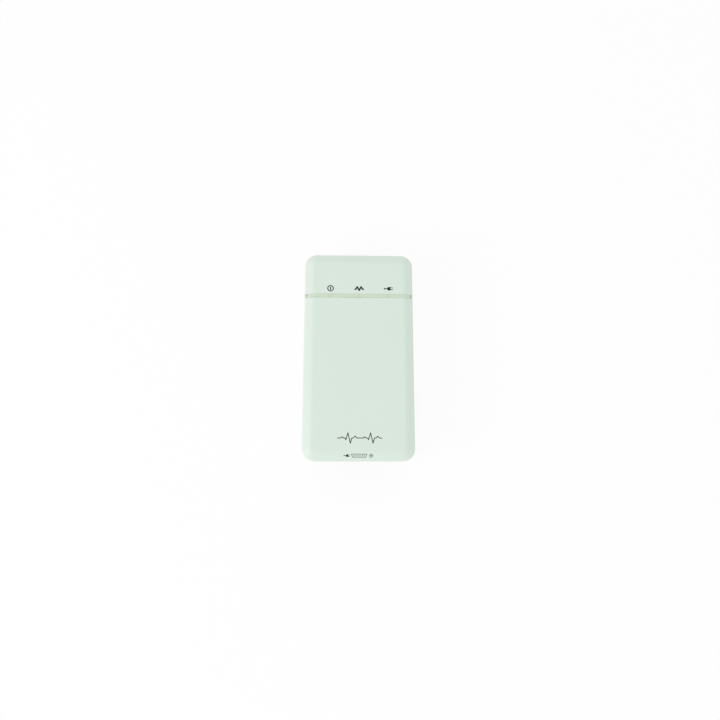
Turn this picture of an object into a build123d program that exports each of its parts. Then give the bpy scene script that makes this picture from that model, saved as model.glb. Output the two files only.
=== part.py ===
from build123d import *
from math import atan2, radians, tan
import os

os.makedirs("parts", exist_ok=True)

# A flat box that reads a patient cable and sends it to a computer. Sizes are in millimetres.
# X runs across the box, Y along it with the computer socket at +Y, and Z up from the feet.

# Case
case_length = 118.0
case_width = 62.0
body_height = 22.0
back_depth = 10.0
corner_radius = 6.8
bevel_width = 4.8
bevel_drop = 2.2
crease_radius = 5.0
rim_radius = 1.3
back_edge_radius = 1.5
wall = 2.0
parting_chamfer = 0.3
least_radius = 0.3
mouth_chamfer = 0.4
tongue_inset = 1.1
tongue_height = 1.2
tongue_clearance = 0.1

# Light strip between the head cap and the front cover
strip_from_head = 25.2
strip_width = 2.1
strip_gap = 0.06
strip_depth = 1.1
strip_recess = 0.05
strip_end_gap = 1.7
notch_depth = 3.6
lip_lap = 1.6
lip_clearance = 0.1
leg_spread = 16.4
leg_length = 2.4
leg_thickness = 1.3
leg_clearance = 0.15
leg_air = 0.3
seam_radius = 0.08

# Feet, label and screws under the case
foot_radius = 4.0
foot_height = 1.0
foot_pocket = 0.7
soft_edge = 0.4
foot_side_gap = 8.0
foot_end_gap = 21.0
label_width = 34.0
label_length = 52.0
label_corner = 2.0
label_thickness = 0.15
label_recess = 0.25
label_clearance = 0.2
case_screw_radius = 1.25
case_screw_head_radius = 2.35
case_screw_head_height = 1.7
case_screw_length = 12.0
case_screw_clearance = 0.1
case_screw_sink = 3.0
case_screw_side_gap = 5.8
case_screw_end_gap = 9.5
boss_wall = 1.6
post_wall = 0.9
boss_joint = 7.0
thread_clearance = 0.02
head_clearance = 0.3
sink_chamfer = 0.3
cross_width = 0.6
cross_depth = 0.9
cross_reach = 0.62

# Main board. Shares are counted along the board from its tail end
board_thickness = 1.6
board_side_gap = 2.0
board_end_gap = 1.0
board_tail_gap = 0.3
standoff_height = 1.7
standoff_radius = 2.5
board_screw_radius = 1.0
board_screw_head_radius = 1.9
board_screw_head_height = 1.3
board_screw_length = 3.9
board_screw_side_gap = 4.0
board_screw_tail_gap = 17.4
board_screw_head_gap = 26.0
board_hole_clearance = 0.1
notch_clearance = 0.5
board_notch_corner = 1.0
barrier_share = 0.553
barrier_width = 2.0
barrier_length = 12.0
barrier_shift = -3.5
pin_clearance = 0.1
pin_overhang = 0.8

# Patient socket, a D shape with two rows of contacts
socket_recess = 6.5
flange_width = 39.2
flange_height = 12.5
flange_thickness = 0.8
flange_corner = 1.5
flange_clearance = 0.25
collar_wall = 2.0
shell_width = 24.7
shell_height = 8.0
shell_slope = 10.0
shell_corner = 2.0
shell_wall = 0.4
shell_reach = 5.9
shell_root_radius = 0.5
shell_lip_radius = 0.25
insulator_recess = 0.3
insulator_clearance = 0.02
insulator_body_width = 24.4
insulator_body_height = 11.8
insulator_body_depth = 5.0
contact_pitch = 2.77
row_pitch = 2.84
contact_radius = 0.6
contact_bore = 0.42
contact_bore_depth = 4.5
contact_recess = 0.2
funnel_depth = 0.25
pin_radius = 0.35
pin_setback = 1.7
upper_contact_count = 8
lower_contact_count = 7
jack_spacing = 33.3
jack_flats = 4.76
jack_length = 4.8
jack_bore = 1.13
jack_bore_depth = 4.4
jack_chamfer = 0.3
jack_stud_radius = 1.42
jack_stud_length = 2.6
stud_clearance = 0.08
foot_plate_length = 6.0
foot_plate_width = 5.4
foot_plate_thickness = 0.8
foot_pin_radius = 0.7

# Computer socket
usb_width = 12.05
usb_height = 11.2
usb_depth = 16.4
usb_metal = 0.35
usb_fold_radius = 0.6
usb_recess = 0.8
usb_clearance = 0.3
usb_opening_width = 8.45
usb_opening_height = 7.78
usb_opening_chamfer = 1.3
usb_cavity_depth = 9.0
usb_tongue_width = 5.6
usb_tongue_height = 3.2
usb_tongue_setback = 1.0
usb_housing_rear = 3.0
usb_contact_width = 1.0
usb_contact_thickness = 0.3
usb_contact_pitch = 2.5
usb_tab_width = 2.4
usb_tab_length = 3.0

# Parts on the board: size across, size along, height
resistor_size = (1.25, 2.0, 0.5)
arrester_size = (1.6, 3.2, 1.6)
capacitor_size = (0.8, 1.6, 0.8)
front_end_size = (12.0, 12.0, 1.4)
controller_size = (10.0, 10.0, 1.4)
isolator_size = (10.3, 7.5, 2.3)
converter_size = (12.0, 18.0, 8.0)
crystal_size = (4.0, 2.5, 1.2)
regulator_size = (6.5, 3.5, 1.7)
choke_size = (4.5, 3.2, 2.8)
led_size = (1.6, 0.8, 0.7)
channel_count = 10
channel_pitch = 3.6
resistor_share = 0.129
arrester_share = 0.167
shield_width = 32.0
shield_height = 3.6
shield_metal = 0.3
can_corner = 0.6
shield_from_arresters = 2.9
shield_from_converter = 2.0
shield_hole_radius = 0.8
shield_hole_pitch = 5.0
capacitor_ring = 9.5
capacitors_per_side = 3
capacitor_pitch = 4.0
isolator_side_gap = 10.5
converter_shift = 12.0
controller_shift = -8.5
controller_share = 0.707
crystal_shift = 2.5
regulator_shift = 15.0
choke_from_socket = 3.3
capacitor_radius = 3.15
capacitor_height = 7.0
capacitor_shift = 13.0
capacitor_from_head = 8.0
lead_width = 0.4
lead_thickness = 0.2
lead_reach = 1.0
body_lift = 0.1
leads_per_side = 8
lead_pitch = 1.0
isolator_lead_pitch = 1.27

# How far a cut runs past its faces, and how closely an edge is picked
overcut = 1.0
touch = 0.01

# Places worked out from the sizes above
side = case_width / 2
head_end = case_length / 2
tail_end = -head_end
case_bottom = foot_height
case_top = case_bottom + body_height
parting = case_bottom + back_depth
floor_top = case_bottom + wall

groove = strip_width + 2 * strip_gap
strip_y = head_end - strip_from_head
groove_tail = strip_y - groove / 2
groove_head = strip_y + groove / 2
lip_end = groove_head + lip_lap
notch_bottom = case_top - notch_depth

board_bottom = floor_top + standoff_height
board_top = board_bottom + board_thickness
board_side = side - wall - board_side_gap
flange_front = tail_end + socket_recess
flange_back = flange_front + flange_thickness
board_tail = flange_back + board_tail_gap
board_head = head_end - wall - board_end_gap
board_length = board_head - board_tail
barrier_y = board_tail + board_length * barrier_share
resistor_y = board_tail + board_length * resistor_share
arrester_y = board_tail + board_length * arrester_share
shield_tail = arrester_y + arrester_size[1] / 2 + shield_from_arresters
shield_head = barrier_y - converter_size[1] / 2 - shield_from_converter
shield_y = (shield_tail + shield_head) / 2
shield_length = shield_head - shield_tail
controller_y = board_tail + board_length * controller_share
isolator_x = isolator_side_gap - board_side

post_radius = case_screw_head_radius + head_clearance + post_wall
boss_radius = case_screw_radius + boss_wall
case_screw_x = side - case_screw_side_gap
case_screw_ends = (tail_end + case_screw_end_gap, head_end - case_screw_end_gap)
screw_seat = case_bottom + case_screw_sink
joint_z = case_bottom + boss_joint

socket_z = board_top + flange_height / 2
pocket_low = socket_z - flange_height / 2 - flange_clearance
pocket_high = socket_z + flange_height / 2 + flange_clearance
pocket_side = flange_width / 2 + flange_clearance
shell_front = flange_front - shell_reach
body_back = flange_back + insulator_body_depth
foot_plate_y = flange_back + foot_plate_length / 2
pin_bottom = board_bottom - pin_overhang

usb_front = head_end - usb_recess
usb_back = usb_front - usb_depth
usb_middle = (usb_front + usb_back) / 2
usb_top = board_top + usb_height
usb_z = board_top + usb_height / 2


# A box between a low and a high value along each axis
def block(x, y, z):
    size = [high - low for low, high in (x, y, z)]
    middle = [(high + low) / 2 for low, high in (x, y, z)]
    return Pos(*middle) * Box(*size)


# A box of a given size that stands on a height
def standing(size, x, y, base):
    across, along, height = size
    return Pos(x, y, base + height / 2) * Box(across, along, height)


# A round post between two heights
def post(radius, x, y, low, high):
    return Pos(x, y, (low + high) / 2) * Cylinder(radius, high - low)


# A round rod along Y
def rod(radius, x, z, start, end):
    return Pos(x, (start + end) / 2, z) * Rot(90, 0, 0) * Cylinder(radius, end - start)


# An upright plane that looks toward -Y
def upright(x, y, z):
    return Plane(origin=(x, y, z), x_dir=(1, 0, 0), z_dir=(0, -1, 0))


# A cone along Y that opens toward -Y at its start
def funnel(narrow, depth, x, z, start):
    return Pos(x, start + depth / 2, z) * Rot(90, 0, 0) * Cone(narrow, narrow + depth, depth)


# Everything between two places along the case
def stretch(start, end):
    return block((-case_width, case_width), (start, end), (-case_width, case_width))


# The case's outline, drawn in by an inset
def outline(inset):
    width = case_width - 2 * inset
    length = case_length - 2 * inset
    return RectangleRounded(width, length, max(corner_radius - inset, least_radius))


# The bevelled upper body, drawn in by an inset on every side
def upper_form(inset, base=parting):
    top = case_top - inset
    body = Part() + extrude(Pos(0, 0, base) * outline(inset), top - base)
    half_turn = atan2(bevel_drop, bevel_width) / 2
    run = bevel_width - inset * (1 - tan(half_turn))
    drop = run * bevel_drop / bevel_width
    face = body.faces().sort_by(Axis.Z)[-1]
    body = body.chamfer(run, drop, face.edges(), face)
    body = fillet(body.edges().group_by(Axis.Z)[-1], max(crease_radius - inset, rim_radius))
    level = top - drop
    rim = body.edges().filter_by_position(Axis.Z, level - touch, level + touch)
    return fillet(rim, max(rim_radius - inset, least_radius))


# The four places of the case screws, tail pair first
def case_screw_places():
    return [(x, y) for y in case_screw_ends for x in (-case_screw_x, case_screw_x)]


# The four places of the board screws
def board_screw_places():
    across = board_side - board_screw_side_gap
    ends = (board_tail + board_screw_tail_gap, board_head - board_screw_head_gap)
    return [(x, y) for y in ends for x in (-across, across)]


# The pocket of the patient socket and the window of the computer socket
def end_openings():
    pocket = block((-pocket_side, pocket_side), (tail_end - overcut, flange_back),
                   (pocket_low, pocket_high))
    half = usb_width / 2 + usb_clearance
    low = board_top - usb_clearance
    high = usb_top + usb_clearance
    window = block((-half, half), (usb_back, head_end + overcut), (low, high))
    flare = flared_mouth(2 * pocket_side, pocket_high - pocket_low, socket_z)
    flare += flared_mouth(2 * half, high - low, usb_z).rotate(Axis.Z, 180)
    return pocket + window + flare


# A rectangle at the tail end that widens outward, as a chamfer round a mouth
def flared_mouth(width, height, z):
    start = upright(0, tail_end + mouth_chamfer, z) * Rectangle(width, height)
    return Part() + extrude(start, mouth_chamfer + overcut, taper=-45)


# The walls round the patient socket, cut to the inside of the case
def collar(base, top):
    edge = pocket_side + collar_wall
    return block((-edge, edge), (tail_end + wall / 2, flange_back), (base, top))


# A boss that hangs from the top, with the bore that its screw cuts into
def boss(x, y):
    return post(boss_radius, x, y, joint_z, case_top - wall / 2)


def boss_bore(x, y):
    end = screw_seat + case_screw_length + thread_clearance
    return post(case_screw_radius + thread_clearance, x, y, joint_z - overcut, end)


# The covers' outer form, with a fine chamfer along the parting line
def outer_form():
    body = upper_form(0)
    return chamfer(body.edges().group_by(Axis.Z)[0], parting_chamfer)


# The rebate round the lower edge of the covers that takes the back cover's tongue
def tongue_rebate():
    ring = outline(tongue_inset - tongue_clearance) - outline(wall)
    return extrude(Pos(0, 0, parting) * ring, tongue_height + tongue_clearance)


# Slots in the lip for the legs of the light strip
def leg_slots():
    across = leg_length / 2 + leg_clearance
    along = leg_thickness / 2 + leg_clearance
    y = (strip_y - along, strip_y + along)
    places = (-leg_spread, 0, leg_spread)
    return [block((x - across, x + across), y, (parting, case_top)) for x in places]


# A length of the outer form with its end at the groove rounded, down to the parting
def outer_length(start, end, groove_end):
    body = outer_form() & stretch(start, end)
    edges = body.edges().filter_by_position(Axis.Y, groove_end - touch, groove_end + touch)
    return fillet([edge for edge in edges if edge.center().Z > parting + parting_chamfer], seam_radius)


def front_cover():
    cover = outer_length(tail_end, groove_tail, groove_tail)
    cover += upper_form(strip_depth) & stretch(groove_tail, lip_end)
    cover -= upper_form(wall, parting - overcut)
    cover += collar(parting, case_top) & upper_form(wall / 2)
    tail_screws = case_screw_places()[:2]
    for x, y in tail_screws:
        cover += boss(x, y) & upper_form(wall / 2, floor_top)
    cover -= tongue_rebate()
    cover -= end_openings()
    cover -= [boss_bore(x, y) for x, y in tail_screws]
    return cover - leg_slots()


def head_cap():
    across = (-case_width, case_width)
    skirt = block(across, (groove_tail + strip_gap, groove_head + overcut), (case_bottom, notch_bottom))
    cap = outer_length(groove_head, head_end, groove_head)
    cap += outer_form() & skirt
    cap -= upper_form(wall, parting - overcut)
    lip_space = upper_form(strip_depth - lip_clearance, parting - overcut)
    cap -= lip_space & stretch(tail_end, lip_end + lip_clearance)
    head_screws = case_screw_places()[2:]
    for x, y in head_screws:
        cap += boss(x, y) & upper_form(wall / 2, floor_top)
    cap -= tongue_rebate()
    cap -= end_openings()
    return cap - [boss_bore(x, y) for x, y in head_screws]


# The translucent bar that follows the face and its bevels, with a leg over each lamp
def light_strip():
    half = strip_width / 2
    reach = side - strip_end_gap
    bar = upper_form(strip_recess) - upper_form(strip_depth, parting - overcut)
    bar &= block((-reach, reach), (strip_y - half, strip_y + half), (parting, case_top))
    low = board_top + led_size[2] + leg_air
    size = (leg_length, leg_thickness, case_top - strip_depth - low)
    return bar + [standing(size, x, strip_y, low) for x in (-leg_spread, 0, leg_spread)]


def back_cover():
    tub = Part() + extrude(Pos(0, 0, case_bottom) * outline(0), back_depth)
    tub = fillet(tub.edges().group_by(Axis.Z)[0], back_edge_radius)
    tub = chamfer(tub.edges().group_by(Axis.Z)[-1], parting_chamfer)
    tub += extrude(Pos(0, 0, parting - wall) * outline(tongue_inset), wall + tongue_height)
    tub -= extrude(Pos(0, 0, floor_top) * outline(wall), body_height)
    tub += collar(floor_top - wall / 2, parting)
    for x, y in case_screw_places():
        tub += post(post_radius, x, y, floor_top - wall / 2, joint_z)
    for x, y in board_screw_places():
        tub += post(standoff_radius, x, y, floor_top - wall / 2, board_bottom)
    sink = case_screw_head_radius + head_clearance
    for x, y in case_screw_places():
        tub -= post(sink, x, y, 0, screw_seat)
        tub -= post(case_screw_radius + case_screw_clearance, x, y, 0, joint_z + overcut)
        tub -= Pos(x, y, case_bottom + sink_chamfer / 2) * Cone(sink + sink_chamfer, sink, sink_chamfer)
    for x, y in board_screw_places():
        depth = board_top - board_screw_length - thread_clearance
        tub -= post(board_screw_radius + thread_clearance, x, y, depth, board_top)
    for x, y in foot_places():
        tub -= post(foot_radius, x, y, 0, case_bottom + foot_pocket)
    tub -= extrude(label_outline(label_clearance), case_bottom + label_recess)
    return tub - end_openings()


# The four places of the feet
def foot_places():
    across = side - foot_side_gap
    along = head_end - foot_end_gap
    return [(x, y) for y in (-along, along) for x in (-across, across)]


def foot_pads():
    pads = []
    for x, y in foot_places():
        pad = post(foot_radius, x, y, 0, case_bottom + foot_pocket)
        pads.append(fillet(pad.edges().group_by(Axis.Z)[0], soft_edge))
    return pads


# The label's outline, let out by a margin
def label_outline(margin):
    return RectangleRounded(label_width + 2 * margin, label_length + 2 * margin, label_corner)


# The blank label in its recess under the case
def rating_label():
    top = case_bottom + label_recess
    return extrude(Pos(0, 0, top - label_thickness) * label_outline(0), label_thickness)


# A pan head screw with a cross recess, its head under or over its seat
def screw(radius, length, head_radius, head_height, x, y, seat, up):
    tip = seat - length if up else seat + length
    crown = seat + head_height if up else seat - head_height
    shank = post(radius, x, y, min(tip, seat), max(tip, seat))
    head = post(head_radius, x, y, min(crown, seat), max(crown, seat))
    rim = head.edges().group_by(Axis.Z)[-1 if up else 0]
    head = fillet(rim, head_height / 2)
    low, high = sorted((crown, crown - cross_depth if up else crown + cross_depth))
    arm = head_radius * cross_reach
    slim = cross_width / 2
    cross = block((x - arm, x + arm), (y - slim, y + slim), (low, high))
    cross += block((x - slim, x + slim), (y - arm, y + arm), (low, high))
    return head + shank - cross


def case_screws():
    return [screw(case_screw_radius, case_screw_length, case_screw_head_radius,
                  case_screw_head_height, x, y, screw_seat, False)
            for x, y in case_screw_places()]


def board_screws():
    return [screw(board_screw_radius, board_screw_length, board_screw_head_radius,
                  board_screw_head_height, x, y, board_top, True)
            for x, y in board_screw_places()]


# The places of the patient contacts: across, height, and where each pin goes down
def contact_places():
    near = body_back + pin_setback
    places = []
    for count, turn, y in ((upper_contact_count, 1, near + row_pitch), (lower_contact_count, -1, near)):
        z = socket_z + turn * row_pitch / 2
        places += [((i - (count - 1) / 2) * contact_pitch, z, y) for i in range(count)]
    return places


# The D outline, wide side up, drawn in by an inset
def d_outline(inset):
    half = shell_height / 2 - inset
    top = shell_width / 2 - inset
    low = top - shell_height * tan(radians(shell_slope))
    corners = [(-low, -half), (low, -half), (top, half), (-top, half)]
    face = make_face(Polyline(*corners, close=True))
    return fillet(face.vertices(), max(shell_corner - inset, shell_wall))


# The D outline as a solid along the case
def d_block(inset, start, end):
    return extrude(upright(0, end, socket_z) * d_outline(inset), end - start)


# The metal front of the patient socket: flange, D collar and two feet on the board
def patient_socket_shell():
    flange = RectangleRounded(flange_width, flange_height, flange_corner)
    shell = Part() + extrude(upright(0, flange_back, socket_z) * flange, flange_thickness)
    shell += d_block(0, shell_front, flange_front)
    root = shell.edges().filter_by_position(Axis.Y, flange_front - touch, flange_front + touch)
    across = shell_width / 2 + touch
    root = root.filter_by_position(Axis.X, -across, across)
    rise = shell_height / 2 + touch
    root = root.filter_by_position(Axis.Z, socket_z - rise, socket_z + rise)
    shell = fillet(root, shell_root_radius)
    shell = fillet(shell.edges().group_by(Axis.Y)[0], shell_lip_radius)
    shell -= d_block(shell_wall, shell_front - overcut, flange_back + overcut)
    for turn in (-1, 1):
        x = turn * jack_spacing / 2
        hole = jack_stud_radius + stud_clearance
        shell -= rod(hole, x, socket_z, flange_front - overcut, flange_back + overcut)
        foot = (foot_plate_width, foot_plate_length, foot_plate_thickness)
        shell += standing(foot, x, foot_plate_y, board_top)
        shell += post(foot_pin_radius, x, foot_plate_y, pin_bottom, board_top)
    return shell


# The bores that hold the contacts, from a face to the back of the socket
def contact_bores(front):
    bore = contact_radius + insulator_clearance
    return [rod(bore, x, z, front - overcut, body_back + overcut) for x, z, y in contact_places()]


# The D shaped moulding inside the shell, with a funnel at each contact
def patient_socket_front_insulator():
    front = shell_front + insulator_recess
    core = d_block(shell_wall + insulator_clearance, front, flange_back)
    bore = contact_radius + insulator_clearance
    core -= [funnel(bore, funnel_depth, x, z, front) for x, z, y in contact_places()]
    return core - contact_bores(front)


# The block behind the flange, which stands on the board
def patient_socket_rear_insulator():
    half = insulator_body_width / 2
    top = board_top + insulator_body_height
    body = block((-half, half), (flange_back, body_back), (board_top, top))
    return body - contact_bores(flange_back)


# Each contact is a sleeve in the two mouldings and a pin that turns down through the board
def patient_socket_contacts():
    front = shell_front + insulator_recess + contact_recess
    contacts = []
    for x, z, y in contact_places():
        contact = rod(contact_radius, x, z, front, body_back)
        contact -= rod(contact_bore, x, z, front - overcut, front + contact_bore_depth)
        contact += rod(pin_radius, x, z, body_back, y)
        contact += [post(pin_radius, x, y, pin_bottom, z), Pos(x, y, z) * Sphere(pin_radius)]
        contacts.append(contact)
    return contacts


# Hexagonal threaded posts on the flange that hold the cable's screws
def jack_nuts():
    nuts = []
    front = flange_front - jack_length
    for x in (-jack_spacing / 2, jack_spacing / 2):
        hexagon = RegularPolygon(jack_flats / 2, 6, major_radius=False, rotation=30)
        nut = Part() + extrude(upright(x, flange_front, socket_z) * hexagon, jack_length)
        nut = chamfer(nut.edges().group_by(Axis.Y)[0], jack_chamfer)
        nut += rod(jack_stud_radius, x, socket_z, flange_front, flange_front + jack_stud_length)
        nut -= funnel(jack_bore, jack_chamfer, x, socket_z, front)
        nuts.append(nut - rod(jack_bore, x, socket_z, front - overcut, front + jack_bore_depth))
    return nuts


# The socket's opening, with its two upper corners cut off
def usb_opening(start, end):
    half = usb_opening_width / 2
    rise = usb_opening_height / 2
    cut = usb_opening_chamfer
    corners = [(-half, -rise), (half, -rise), (half, rise - cut), (half - cut, rise),
               (cut - half, rise), (-half, rise - cut)]
    return extrude(upright(0, end, usb_z) * make_face(Polyline(*corners, close=True)), end - start)


# The folded metal can of the computer socket, open underneath, with two tabs in the board
def usb_socket_shell():
    half = usb_width / 2
    can = block((-half, half), (usb_back, usb_front), (board_top, usb_top))
    can = fillet(can.edges().filter_by(Axis.Y).group_by(Axis.Z)[-1], usb_fold_radius)
    inner = half - usb_metal
    can -= block((-inner, inner), (usb_back + usb_metal, usb_front - usb_metal),
                 (board_top - overcut, usb_top - usb_metal))
    can -= usb_opening(usb_front - usb_metal - overcut, usb_front + overcut)
    along = (usb_middle - usb_tab_width / 2, usb_middle + usb_tab_width / 2)
    for edge in ((-half, -inner), (inner, half)):
        can += block(edge, along, (board_top - usb_tab_length, board_top + usb_metal))
    return can


# The plastic block inside the can, with its cavity and the tongue that carries the contacts
def usb_socket_insulator():
    half = usb_width / 2 - usb_metal
    rear = usb_back + usb_metal + usb_housing_rear
    front = usb_front - usb_metal
    housing = block((-half, half), (rear, front), (board_top, usb_top - usb_metal))
    floor = front - usb_cavity_depth
    housing -= usb_opening(floor, front + overcut)
    tongue = block((-usb_tongue_width / 2, usb_tongue_width / 2), (floor, front - usb_tongue_setback),
                   (usb_z - usb_tongue_height / 2, usb_z + usb_tongue_height / 2))
    housing += tongue
    reach = (rear - overcut, front - usb_tongue_setback - usb_metal)
    return housing - [block(x, reach, z) for x, z, y in usb_contact_places()]


# The contacts' widths and heights, and where each turns down: two above and two below the tongue
def usb_contact_places():
    places = []
    rise = usb_tongue_height / 2
    back = usb_back + usb_metal
    for turn in (-1, 1):
        middle = turn * usb_contact_pitch / 2
        x = (middle - usb_contact_width / 2, middle + usb_contact_width / 2)
        upper = (usb_z + rise - usb_contact_thickness, usb_z + rise)
        lower = (usb_z - rise, usb_z - rise + usb_contact_thickness)
        places.append((x, upper, back + usb_housing_rear / 3))
        places.append((x, lower, back + usb_housing_rear * 2 / 3))
    return places


def usb_socket_contacts():
    contacts = []
    front = usb_front - usb_metal - usb_tongue_setback - usb_metal
    for x, z, y in usb_contact_places():
        strip = block(x, (y, front), z)
        leg = block(x, (y, y + usb_contact_thickness), (pin_bottom, z[1]))
        contacts.append(strip + leg)
    return contacts


def main_board():
    board = block((-board_side, board_side), (board_tail, board_head), (board_bottom, board_top))
    reach = post_radius + notch_clearance
    for x, y in case_screw_places():
        edge_x = (x - reach, case_width) if x > 0 else (-case_width, x + reach)
        edge_y = (y - reach, case_length) if y > 0 else (-case_length, y + reach)
        corner = block(edge_x, edge_y, (0, case_top))
        board -= fillet(corner.edges().filter_by(Axis.Z), board_notch_corner)
    screw_hole = board_screw_radius + board_hole_clearance
    board -= [post(screw_hole, x, y, 0, case_top) for x, y in board_screw_places()]
    board -= board_cut(barrier_shift, barrier_y, barrier_length / 2, barrier_width / 2)
    board -= [post(pin_radius + pin_clearance, x, y, 0, case_top) for x, z, y in contact_places()]
    foot_hole = foot_pin_radius + pin_clearance
    board -= [post(foot_hole, x, foot_plate_y, 0, case_top) for x in (-jack_spacing / 2, jack_spacing / 2)]
    for x, z, y in usb_contact_places():
        middle = y + usb_contact_thickness / 2
        board -= board_cut(sum(x) / 2, middle, usb_contact_width / 2 + pin_clearance,
                           usb_contact_thickness / 2 + pin_clearance)
    for turn in (-1, 1):
        x = turn * (usb_width - usb_metal) / 2
        board -= board_cut(x, usb_middle, usb_metal / 2 + pin_clearance, usb_tab_width / 2 + pin_clearance)
    return board


# A slot through the board, given by its middle and its half sizes
def board_cut(x, y, across, along):
    return block((x - across, x + across), (y - along, y + along), (0, case_top))


# A row of small parts across the board, one for each lead of the patient cable
def channel_row(size, y):
    start = -(channel_count - 1) * channel_pitch / 2
    return [standing(size, start + i * channel_pitch, y, board_top) for i in range(channel_count)]


# A chip: a body just above the board and bent leads along two or four sides
def chip(size, x, y, count, pitch, four_sides):
    across, along, height = size
    body = standing((across, along, height - body_lift), x, y, board_top + body_lift)
    knee = board_top + height / 2
    for i in range(count):
        shift = (i - (count - 1) / 2) * pitch
        for turn in (-1, 1):
            body += chip_lead(x + shift, y + turn * along / 2, 0, turn, knee)
            if four_sides:
                body += chip_lead(x + turn * across / 2, y + shift, turn, 0, knee)
    return body


# One lead: out of the body, down, and flat on the board, toward +-X or +-Y
def chip_lead(x, y, toward_x, toward_y, knee):
    half = lead_width / 2
    bend = lead_reach / 2
    arm = (-lead_thickness, bend, knee - lead_thickness, knee)
    drop = (bend - lead_thickness, bend, board_top, knee)
    foot = (bend - lead_thickness, lead_reach, board_top, board_top + lead_thickness)
    shapes = []
    for start, end, low, high in (arm, drop, foot):
        if toward_x:
            reach = sorted((x + toward_x * start, x + toward_x * end))
            shapes.append(block(reach, (y - half, y + half), (low, high)))
        else:
            reach = sorted((y + toward_y * start, y + toward_y * end))
            shapes.append(block((x - half, x + half), reach, (low, high)))
    return shapes[0] + shapes[1:]


# The tinned cover over the amplifier, with rows of small holes
def shield_can():
    top = board_top + shield_height
    can = standing((shield_width, shield_length, shield_height), 0, shield_y, board_top)
    can = fillet(can.edges().filter_by(Axis.Z), can_corner)
    hollow = (shield_width - 2 * shield_metal, shield_length - 2 * shield_metal, shield_height + overcut)
    can -= standing(hollow, 0, shield_y, board_top - overcut - shield_metal)
    columns = int((shield_width - shield_hole_pitch) / shield_hole_pitch)
    rows = int((shield_length - shield_hole_pitch) / shield_hole_pitch)
    for i in range(columns):
        for j in range(rows):
            hole_x = (i - (columns - 1) / 2) * shield_hole_pitch
            hole_y = shield_y + (j - (rows - 1) / 2) * shield_hole_pitch
            can -= post(shield_hole_radius, hole_x, hole_y, top - shield_metal - overcut, top + overcut)
    return can


def front_end_chip():
    return chip(front_end_size, 0, shield_y, leads_per_side, lead_pitch, True)


# Small capacitors in a row on each side of the amplifier chip
def chip_capacitors():
    parts = []
    for turn in (-1, 1):
        for i in range(capacitors_per_side):
            shift = (i - (capacitors_per_side - 1) / 2) * capacitor_pitch
            ring = turn * capacitor_ring
            parts.append(standing(capacitor_size, ring, shield_y + shift, board_top))
            parts.append(standing(capacitor_size, shift, shield_y + ring, board_top))
    return parts


def clock_crystal():
    body = standing(crystal_size, crystal_shift, controller_y, board_top)
    return fillet(body.edges().filter_by(Axis.Z), can_corner)


# The regulator's body with three leads and a heat tab
def voltage_regulator():
    across, along, height = regulator_size
    body = chip(regulator_size, regulator_shift, controller_y, 2, across / 2, False)
    tab = (across / 2, lead_reach, lead_thickness)
    return body + standing(tab, regulator_shift, controller_y + (along + lead_reach) / 2, board_top)


def bulk_capacitors():
    cans = []
    y = board_head - capacitor_from_head
    for x in (-capacitor_shift, capacitor_shift):
        can = post(capacitor_radius, x, y, board_top, board_top + capacitor_height)
        cans.append(fillet(can.edges().group_by(Axis.Z)[-1], soft_edge))
    return cans


def usb_choke():
    y = usb_back - choke_from_socket
    return standing(choke_size, 0, y, board_top)


def status_leds():
    return [standing(led_size, x, strip_y, board_top) for x in (-leg_spread, 0, leg_spread)]


pieces = {
    "front_cover": front_cover(),
    "head_cap": head_cap(),
    "light_strip": light_strip(),
    "back_cover": back_cover(),
    "rating_label": rating_label(),
    "foot_pads": foot_pads(),
    "case_screws": case_screws(),
    "board_screws": board_screws(),
    "main_board": main_board(),
    "patient_socket_shell": patient_socket_shell(),
    "patient_socket_front_insulator": patient_socket_front_insulator(),
    "patient_socket_rear_insulator": patient_socket_rear_insulator(),
    "patient_socket_contacts": patient_socket_contacts(),
    "jack_nuts": jack_nuts(),
    "usb_socket_shell": usb_socket_shell(),
    "usb_socket_insulator": usb_socket_insulator(),
    "usb_socket_contacts": usb_socket_contacts(),
    "series_resistors": channel_row(resistor_size, resistor_y),
    "surge_arresters": channel_row(arrester_size, arrester_y),
    "shield_can": shield_can(),
    "front_end_chip": front_end_chip(),
    "chip_capacitors": chip_capacitors(),
    "isolation_converter": standing(converter_size, converter_shift, barrier_y, board_top),
    "digital_isolator": chip(isolator_size, isolator_x, barrier_y,
                             leads_per_side, isolator_lead_pitch, False),
    "controller_chip": chip(controller_size, controller_shift, controller_y,
                            leads_per_side, lead_pitch, True),
    "clock_crystal": clock_crystal(),
    "voltage_regulator": voltage_regulator(),
    "bulk_capacitors": bulk_capacitors(),
    "usb_choke": usb_choke(),
    "status_leds": status_leds(),
}

for name, shape in pieces.items():
    solids = shape if isinstance(shape, list) else [shape]
    group = Compound(children=[solid for item in solids for solid in item.solids()])
    export_step(group if len(group.solids()) > 1 else group.solids()[0], f"parts/{name}.step")
    print(name, len(group.solids()), round(group.volume, 1))
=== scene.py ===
import bpy
import numpy as np
from mathutils import Matrix, Vector


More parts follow.
